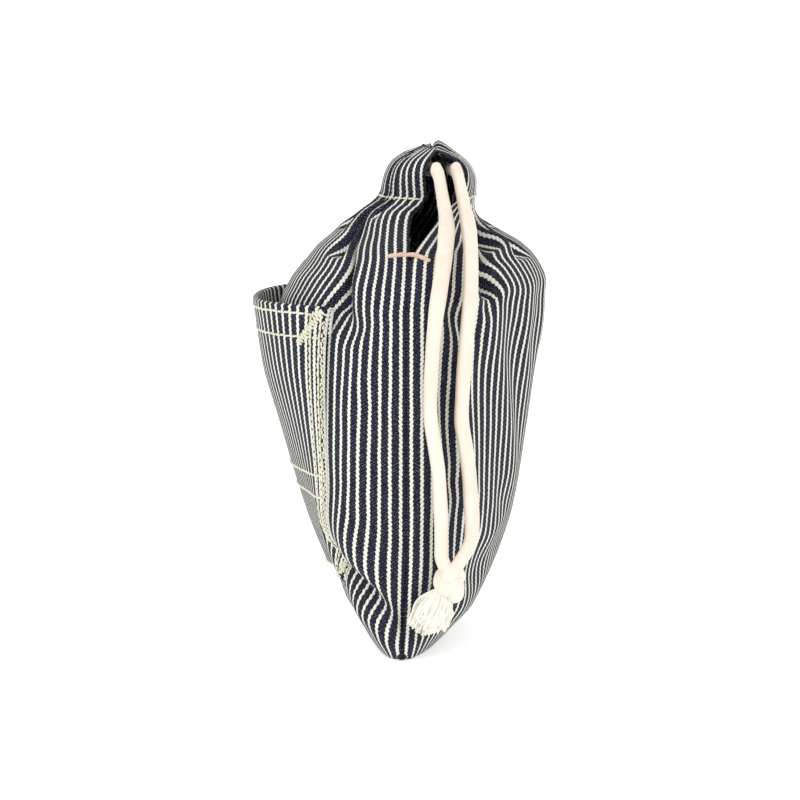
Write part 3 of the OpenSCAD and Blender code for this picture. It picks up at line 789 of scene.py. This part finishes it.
def pocket_lift(across, rise):
    """How far the pocket's face stands off the front; rise is 0 at its foot and 1 at the rim."""
    p = np.clip(np.abs(across) / POCKET_HALF, 0, 1)
    edge = POCKET_HALF - np.abs(across)
    lift = 1.3 + 1.2 * smooth_step((rise - 0.45) / 0.4)
    lift = lift + GAPE * np.clip(rise, 0, 1) ** 2.4 * (1 - p ** 3)
    slack = 0.5 * np.sin(across / 9.5 + 1) * np.sin(math.pi * np.clip(rise, 0, 1))
    turned = 1.0 * smooth_step((1.3 - edge) / 1.3) + 1.0 * smooth_step((0.012 - rise) / 0.012)
    return lift + slack * smooth_step(edge / 12) - turned


def pocket_grid():
    across = np.linspace(-POCKET_HALF, POCKET_HALF, int(2 * POCKET_HALF / CELL) + 1)
    low, high = up_at(POCKET_Z), up_at(RIM_Z - RIM_ROUND)
    outer_up = np.linspace(low, high, int((high - low) / CELL) + 1)
    base = Cloth(across, outer_up, panel_grid(FRONT, across, outer_up, gathered=False), FRONT)
    rise = (outer_up - low) / (high - low)
    lift = pocket_lift(across[None, :], rise[:, None])
    outer = base.points + base.out * lift[..., None]
    rim, rim_out = outer[-1], base.out[-1]
    upward = outer[-1] - outer[-3]
    upward /= np.linalg.norm(upward, axis=1)[:, None]
    rows = [outer]
    for a in np.radians([30, 60, 90, 120, 150]):
        step = upward * math.sin(a) - rim_out * (1 - math.cos(a))
        rows.append((rim + RIM_ROUND * step)[None])
    inner_up = outer_up[::-1][: int(HEM / (outer_up[1] - outer_up[0]))]
    count = len(inner_up)
    inner = outer[::-1][:count] - base.out[::-1][:count] * 2 * RIM_ROUND
    rows.append(inner)
    cut_up = np.concatenate([outer_up, high + RIM_ROUND * np.radians([30, 60, 90, 120, 150]),
                             high + RIM_ROUND * math.pi + (high - inner_up)])
    return across, outer_up, cut_up, outer, np.concatenate(rows)


pocket_across, pocket_up, pocket_cut_up, pocket_face, pocket_points = pocket_grid()
pocket = Cloth(pocket_across, pocket_up, pocket_face, FRONT)
pocket_uv = np.stack(np.meshgrid(pocket_across, pocket_cut_up), axis=-1).reshape(-1, 2)
pocket_cloth = make_mesh("pocket_cloth", pocket_points.reshape(-1, 3),
                         grid_faces(*pocket_points.shape[:2]), pocket_uv)
thicken(pocket_cloth, CLOTH_T)
POCKET_CUT = (2 * POCKET_HALF, float(pocket_cut_up[-1] - pocket_cut_up[0]))
print("pocket cut", [round(x, 1) for x in POCKET_CUT], "rim at", round(RIM_Z, 1))

# %% [markdown]
# ## Hems and seam allowances
# Each slit has a narrow turned hem, and the side seams' allowances lie together inside the sack.
# Little of them is seen, but a gap with nothing behind it would look like paper.

# %% Inner strips
SLIT_LOW, SLIT_HIGH = up_at(H - 14), up_at(H + 1)


def strip(name, grid, uv, thickness):
    piece = make_mesh(name, grid.reshape(-1, 3), grid_faces(*grid.shape[:2]), uv.reshape(-1, 2))
    thicken(piece, thickness)
    return piece


def slit_hem(name, side, end):
    across = end * np.linspace(HALF_CUT - 5.2, HALF_CUT - 1.4, 6)
    up = np.linspace(SLIT_LOW, SLIT_HIGH, 18)
    s, h = np.meshgrid(across, up)
    grid = panel[side].at(s, h, np.full(s.shape, -CLOTH_T - 0.15))
    return strip(name, grid, np.stack([s, h], axis=-1), 0.7)


def side_allowance(name, end):
    up = np.linspace(up_at(0.12 * H), up_at(H - 18), 90)
    edge = panel[FRONT].at(np.full(up.shape, end * HALF_CUT), up)
    depth = np.array([2.6, 4.2, 6.0, 7.8])
    wave = 0.5 * np.sin(up / 3.1)[:, None] * (depth / 8)[None, :]
    grid = edge[:, None] + np.stack([
        np.broadcast_to(-end * depth, wave.shape), 1.0 + wave, np.zeros_like(wave)], axis=-1)
    s, h = np.meshgrid(depth, up)
    return strip(name, grid, np.stack([s, h], axis=-1), 1.7)


right_hems = [slit_hem("right_slit_hem_front", FRONT, 1), slit_hem("right_slit_hem_back", BACK, 1)]
left_hems = [slit_hem("left_slit_hem_front", FRONT, -1), slit_hem("left_slit_hem_back", BACK, -1)]
right_allowance = side_allowance("right_seam_allowance", 1)
left_allowance = side_allowance("left_seam_allowance", -1)

# %% [markdown]
# ## Stitching
# Topstitching is thick cream thread: short bars that come out of the cloth, lie on it and dive in
# again. Each stitch here is its own little bent tube, so the light catches it one by one. Bar
# tacks are the same thread packed closely: across the seam under each slit, and as a slanting
# zigzag at the pocket's corners.

# %% Rows of stitches
THREAD_R = 0.40
STITCH, STITCH_GAP = 2.5, 0.55


def stitch(cloth, start, end, radius=THREAD_R, lift=0.22, sides=6):
    """One stitch between two places of the cut, dipping into the cloth at both ends."""
    t = np.linspace(0, 1, 6)
    s, h = start[0] + (end[0] - start[0]) * t, start[1] + (end[1] - start[1]) * t
    rise = lift - (lift + 0.35) * np.abs(2 * t - 1) ** 4
    return tube_mesh(cloth.at(s, h, rise), radius, sides)


def row(cloth, start, end, length=STITCH, gap=STITCH_GAP, seed=1, radius=THREAD_R, stray=0.07):
    """A straight row of stitches on the cut, with the small unevenness of a real machine."""
    draw = np.random.default_rng(seed)
    start, end = np.array(start, float), np.array(end, float)
    span = np.linalg.norm(end - start)
    count = max(int(span / (length + gap)), 1)
    pitch = (end - start) / count
    along = pitch / np.linalg.norm(pitch)
    side = np.array([-along[1], along[0]])
    parts = []
    for i in range(count):
        a = start + pitch * i + along * gap / 2 + side * draw.normal(0, stray)
        b = start + pitch * (i + 1) - along * gap / 2 + side * draw.normal(0, stray)
        parts.append(stitch(cloth, a, b, radius))
    return parts


def zigzag(cloth, start, end, width, pitch, radius=THREAD_R, uneven=0.08):
    """Zigzag stitches about a line on the cut; packed closely they make a bar tack."""
    draw = np.random.default_rng(17)
    start, end = np.array(start, float), np.array(end, float)
    span = np.linalg.norm(end - start)
    along = (end - start) / span
    side = np.array([-along[1], along[0]])
    turns = int(span / pitch)
    corners = [start + along * pitch * (i + draw.uniform(-uneven, uneven))
               + side * width / 2 * (-1) ** i * (1 + draw.uniform(-uneven, uneven)) for i in range(turns + 1)]
    return [stitch(cloth, a, b, radius, 0.45) for a, b in zip(corners[:-1], corners[1:])]


rim_up, foot_up = float(pocket_up[-1]), float(pocket_up[0])
EDGE_IN = 1.9
ROW_GAP = 3.5
row_half = POCKET_HALF - EDGE_IN
hem_stitching = make_mesh("pocket_hem_stitching", *join(
    row(pocket, (-row_half, rim_up - 1.9), (row_half, rim_up - 1.9), seed=2)
    + row(pocket, (-row_half, rim_up - HEM + 1.4), (row_half, rim_up - HEM + 1.4), seed=3)))
lower_box = box_mm("pocket_lower_stitching")
lower_rows = [up_at(lower_box[0][2] + 0.5), up_at(lower_box[1][2] - 0.5)]
lower_stitching = make_mesh("pocket_lower_stitching", *join(
    [part for k, h in enumerate(lower_rows)
     for part in row(pocket, (-row_half, h), (row_half, h), seed=4 + k)]))
bottom_stitching = make_mesh("pocket_bottom_stitching", *join(
    row(pocket, (-row_half, foot_up + 1.8), (row_half, foot_up + 1.8), seed=6)))
side_parts = []
for end in (-1, 1):
    for k in (0, 1):
        s = end * (row_half - k * ROW_GAP)
        side_parts += row(pocket, (s, foot_up + 2.5), (s, rim_up - 2.2), 2.2, 0.4, 8 + k, 0.46)
    edge = end * (POCKET_HALF - 0.9)
    side_parts += row(pocket, (edge, foot_up + 3), (edge, rim_up - 4), 1.15, 0.25, 12, 0.36, 0.22)
side_stitching = make_mesh("pocket_side_stitching", *join(side_parts))

# %% Tacks
corner_parts = []
for end in (-1, 1):
    corner = end * (POCKET_HALF - 1.6)
    corner_parts += zigzag(
        pocket, (corner, rim_up - 1.2), (corner - end * 9, rim_up - HEM - 1.0), 2.6, 0.62, 0.34)
    corner_parts += zigzag(pocket, (corner, rim_up - 0.8), (corner - end * 3.5, rim_up - 2.2), 1.8, 0.6, 0.34)
    corner_parts += zigzag(pocket, (corner, foot_up + 6), (corner - end * 2.4, foot_up + 1), 2.4, 0.7, 0.34)
    corner_parts += zigzag(pocket, (corner, foot_up + 11), (corner, foot_up + 3), 1.6, 0.7, 0.34)
corner_tacks = make_mesh("pocket_corner_tacks", *join(corner_parts))


def slit_tack(name, end):
    """Thread wrapped closely across the seam, where the slit starts."""
    high = up_at(H - 15.6)
    front = panel[FRONT].at(end * np.linspace(HALF_CUT - 7.4, HALF_CUT - 1.6, 7),
                            np.full(7, high), np.full(7, 0.25))
    back = panel[BACK].at(end * np.linspace(HALF_CUT - 1.8, HALF_CUT - 6.4, 6),
                          high - np.linspace(0.4, 3.6, 6), np.full(6, 0.25))
    path, _ = resample(np.concatenate([front, back]), 0.14)

    def wrapped(along, turn):
        return 0.78 + 0.13 * np.cos(2 * math.pi * along / 0.72 + turn) + 0.06 * np.sin(along * 1.7)
    return make_mesh(name, *tube_mesh(path, wrapped, 10))


right_tack, left_tack = slit_tack("right_slit_tack", 1), slit_tack("left_slit_tack", -1)

# %% Stitching round the foot of the casings
CASING_ROW = up_at(H + 1.7)
casing_rows = {}
for side, name in ((FRONT, "front_casing_stitching"), (BACK, "back_casing_stitching")):
    half = HALF_CUT - 2.5
    parts = row(panel[side], (-half, CASING_ROW), (half, CASING_ROW), 2.3, 0.5, 30 + side, 0.36)
    casing_rows[side] = make_mesh(name + "_thread", *join(parts))
print("stitch faces", sum(len(o.data.polygons) for o in (
    hem_stitching, lower_stitching, bottom_stitching, side_stitching, corner_tacks,
    right_tack, left_tack, *casing_rows.values())))

# %% [markdown]
# ## Wiring a material
# A woven stripe is easiest to write as sums, so one small class wraps a socket of a material and
# turns each sum into Math nodes. Colours go through Mix nodes, and any other node comes from one
# method. The patterns read the place on the flat cut, in millimetres, so they follow the cloth.

# %% One class for shader sums


class Wire:
    """A value in a material, which can be added, multiplied and mixed with others."""

    def __init__(self, tree, socket=None):
        self.tree, self.socket = tree, socket

    def node(self, kind, settings=None, inputs=None, out=0):
        made = self.tree.nodes.new(kind)
        for key, value in (settings or {}).items():
            setattr(made, key, value)
        for key, value in (inputs or {}).items():
            if isinstance(value, Wire):
                self.tree.links.new(value.socket, made.inputs[key])
            else:
                made.inputs[key].default_value = value
        return Wire(self.tree, made.outputs[out])

    def sum(self, operation, *values):
        return self.node("ShaderNodeMath", {"operation": operation}, dict(enumerate(values)))

    def part(self):
        """What is left of this value above its whole number."""
        return self.sum("FRACT", self)

    def size(self):
        return self.sum("ABSOLUTE", self)

    def __add__(self, other):
        return self.sum("ADD", self, other)

    def __sub__(self, other):
        return self.sum("SUBTRACT", self, other)

    def __rsub__(self, other):
        return self.sum("SUBTRACT", other, self)

    def __mul__(self, other):
        return self.sum("MULTIPLY", self, other)

    def __truediv__(self, other):
        return self.sum("DIVIDE", self, other)

    __radd__, __rmul__ = __add__, __mul__

    def wave(self, length):
        """A sine from -1 to 1 that repeats each length."""
        return self.sum("SINE", self * (2 * math.pi / length))

    def between(self, low, high):
        """0 below low, 1 above high, and a straight ramp between them."""
        return self.node("ShaderNodeMapRange", {}, {0: self, 1: low, 2: high, 3: 0.0, 4: 1.0})

    def mix(self, low, high):
        """A colour: low where this value is 0 and high where it is 1."""
        ends = {k: v if isinstance(v, Wire) else (*v, 1) for k, v in ((6, low), (7, high))}
        return self.node("ShaderNodeMix", {"data_type": "RGBA"}, {0: self, **ends}, out=2)

    def noise(self, where, scale, detail=2.0):
        return self.node("ShaderNodeTexNoise", {}, {"Vector": where, "Scale": scale, "Detail": detail})


def new_material(name, sheen=0.0):
    paint = bpy.data.materials.new(name)
    paint.use_nodes = True
    shader = paint.node_tree.nodes["Principled BSDF"]
    shader.inputs["Specular IOR Level"].default_value = 0.16
    shader.inputs["Sheen Weight"].default_value = sheen
    return paint, shader, Wire(paint.node_tree)


def finish_material(paint, shader, wire, colour, rough, height, depth_mm, strength=0.8):
    bump = wire.node("ShaderNodeBump", {},
                     {"Strength": strength, "Distance": depth_mm * MM, "Height": height})
    for socket, value in (("Base Color", colour), ("Roughness", rough), ("Normal", bump)):
        paint.node_tree.links.new(value.socket, shader.inputs[socket])
    return paint


# %% [markdown]
# ## Denim, thread and cotton
# Hickory stripe is a twill with white warp threads among navy ones. Seen close, the white stripes
# look like thin ropes with toothed edges, and pale specks of weft show between the navy threads.
# All of that comes from one slanting twill wave, drawn at its true pitch.

# %% Striped denim
STRIPE = 3.6
WHITE_HALF = 0.55
FIRST_STRIPE = HALF_CUT - 1.8
TWILL, ROPE = 0.95, 1.6


def denim(name, reverse=False):
    paint, shader, wire = new_material(name, sheen=0.03)
    cut = wire.node("ShaderNodeUVMap", {"uv_map": "cut"})
    across = wire.node("ShaderNodeSeparateXYZ", {}, {0: cut})
    up = Wire(wire.tree, across.socket.node.outputs[1])
    slow = wire.noise(cut, 0.11, 3)
    fibre = wire.noise(cut, 2.1, 2)
    twill = (up + across * 0.64).wave(TWILL)
    weft = (across + up * 0.1).wave(0.78)
    rope = (up + across * 0.9).wave(ROPE)
    edge = WHITE_HALF + 0.13 * rope + 0.34 * (fibre - 0.5)
    place = (across - FIRST_STRIPE + 0.5 * (slow - 0.5)) / STRIPE + 0.5
    off = (place.part() - 0.5).size() * STRIPE
    white = (edge - off).between(-0.07, 0.07)
    fleck = (twill * weft).between(0.30, 0.70) * fibre.between(0.46, 0.60)
    # groove is the low side of each twill rope, where the cream is greyed below as painted shade
    groove = rope.between(-0.35, -0.95)
    navy = slow.mix((0.005, 0.006, 0.016), (0.010, 0.012, 0.031))
    navy = (fleck * (0.60 if reverse else 0.55)).mix(navy, (0.42, 0.45, 0.50))
    cream = slow.mix((0.78, 0.78, 0.66), (0.88, 0.87, 0.80))
    # painted shade: the cream stripes are greyed in the twill grooves
    cream = (groove * 0.24).mix(cream, (0.25, 0.27, 0.30))
    colour = white.mix(navy, cream)
    height = 0.35 * twill + 0.25 * rope + 0.7 * white + 0.3 * fibre + 0.25 * fleck
    return finish_material(paint, shader, wire, colour, 0.80 + 0.12 * fibre, height, 0.16)


# %% Thread, overlocking and cotton cord


def thread(name, colour, dark):
    paint, shader, wire = new_material(name, sheen=0.1)
    place = wire.node("ShaderNodeTexCoord", {}, {}, out=3)
    twist = wire.noise(place, 1500, 2)
    soft = wire.noise(place, 120, 2)
    tone = (0.6 * twist + 0.5 * soft).between(0.35, 0.75).mix(dark, colour)
    return finish_material(paint, shader, wire, tone, 0.72 + 0.12 * twist, twist, 0.15)


def overlock():
    paint, shader, wire = new_material("overlock_thread", sheen=0.1)
    place = wire.node("ShaderNodeTexCoord", {}, {}, out=3)
    parts = wire.node("ShaderNodeSeparateXYZ", {}, {0: place})
    up = Wire(wire.tree, parts.socket.node.outputs[2])
    loops = (up + parts * 0.6).wave(0.0022)
    fluff = wire.noise(place, 900, 3)
    tone = (loops * 0.5 + fluff).between(0.2, 1.1).mix((0.42, 0.42, 0.40), (0.80, 0.79, 0.72))
    return finish_material(paint, shader, wire, tone, 0.85 + 0.1 * fluff, loops + fluff, 0.3)


def cotton(name, warm=0.5, light=(0.87, 0.81, 0.72)):
    paint, shader, wire = new_material(name, sheen=0.25)
    place = wire.node("ShaderNodeTexCoord", {}, {}, out=3)
    long = wire.node("ShaderNodeMapping", {}, {"Vector": place, "Scale": (1.0, 1.0, 0.16)})
    fibre = wire.noise(long, 1700, 3)
    strand = wire.noise(long, 420, 2)
    patch = wire.noise(place, 45, 2)
    tone = (0.5 * strand + warm * patch).between(0.30, 0.72).mix((0.80, 0.68, 0.56), light)
    height = 0.6 * fibre + 0.8 * strand
    return finish_material(paint, shader, wire, tone, 0.82 + 0.12 * fibre, height, 0.22, 0.7)


# The reverse keeps the face's dark navy, a little more flecked, though the real reverse is paler: its
# darkness is painted shade for the inside of the slits.
DENIM, DENIM_INSIDE_SHADED = denim("striped_denim"), denim("striped_denim_reverse_shaded", reverse=True)
CREAM_THREAD = thread("topstitch_thread", (0.86, 0.84, 0.70), (0.62, 0.59, 0.46))
PEACH_THREAD = thread("tack_thread", (0.84, 0.66, 0.53), (0.66, 0.46, 0.36))
OVERLOCK = overlock()
COTTON, TUFT = cotton("cotton_cord"), cotton("cotton_tuft", 0.75, (0.91, 0.87, 0.80))
COTTON_SLOT = "cotton_cord"

# %% [markdown]
# ## Putting the pieces on their bodies
# Every piece takes its finish and stands for the imported pieces it shows, and most ride on the
# body they belong to. The free strands and the hidden loop ride on no body.

# %% Finishes, bodies and replaced pieces


def dress(piece, finish, slot, *nodes, body=SACK):
    piece.data.materials.clear()
    piece.data.materials.append(finish)
    if body:
        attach(piece, body)
    if nodes:
        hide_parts(*nodes)
    return piece


dress(front_cloth, DENIM, "striped_denim", "front_panel", "front_casing")
dress(back_cloth, DENIM, "striped_denim", "back_panel", "back_casing")
dress(pocket_cloth, DENIM, "striped_denim", "pocket_panel", "pocket_hem")
for hems, node in ((right_hems, "right_slit_hems"), (left_hems, "left_slit_hems")):
    for piece in hems:
        dress(piece, DENIM_INSIDE_SHADED, "striped_denim", node)
dress(right_allowance, OVERLOCK, "overlock", "right_side_seam")
dress(left_allowance, OVERLOCK, "overlock", "left_side_seam")
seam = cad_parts["bottom_seam"]
seam.data.materials.clear()
seam.data.materials.append(OVERLOCK)
for piece, node in ((hem_stitching, "pocket_hem_stitching"), (lower_stitching, "pocket_lower_stitching"),
                    (bottom_stitching, "pocket_bottom_stitching"),
                    (side_stitching, "pocket_side_stitching"), (corner_tacks, "pocket_corner_tacks"),
                    (casing_rows[FRONT], "front_casing_stitching"),
                    (casing_rows[BACK], "back_casing_stitching")):
    piece.name = node + "_thread"
    dress(piece, CREAM_THREAD, "topstitch_thread", node)
dress(right_tack, PEACH_THREAD, "tack_thread", "right_slit_tack").name = "right_slit_tack_thread"
dress(left_tack, PEACH_THREAD, "tack_thread", "left_slit_tack").name = "left_slit_tack_thread"

dress(front_lead, COTTON, COTTON_SLOT, "drawcord_lead", body=LEAD)
dress(back_lead, COTTON, COTTON_SLOT, body=LEAD)
dress(cord_loop, COTTON, COTTON_SLOT, "drawcord_loop", body=None)
dress(knot, COTTON, COTTON_SLOT, "drawcord_knot", body=TAIL)
dress(front_tuft, TUFT, COTTON_SLOT, "drawcord_front_end", body=TAIL)
dress(back_tuft, TUFT, COTTON_SLOT, "drawcord_back_end", body=TAIL)
dress(front_strand, COTTON, COTTON_SLOT, "drawcord_front_strand", body=None)
dress(back_strand, COTTON, COTTON_SLOT, "drawcord_back_strand", body=None)


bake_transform(cord_loop)
for strand, path, length, tuft_piece in ((front_strand, front_path, front_length, front_tuft),
                                         (back_strand, back_path, back_length, back_tuft)):
    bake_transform(strand)
    length * MM
cut_size = (2 * HALF_CUT * MM, CUT_H * MM)
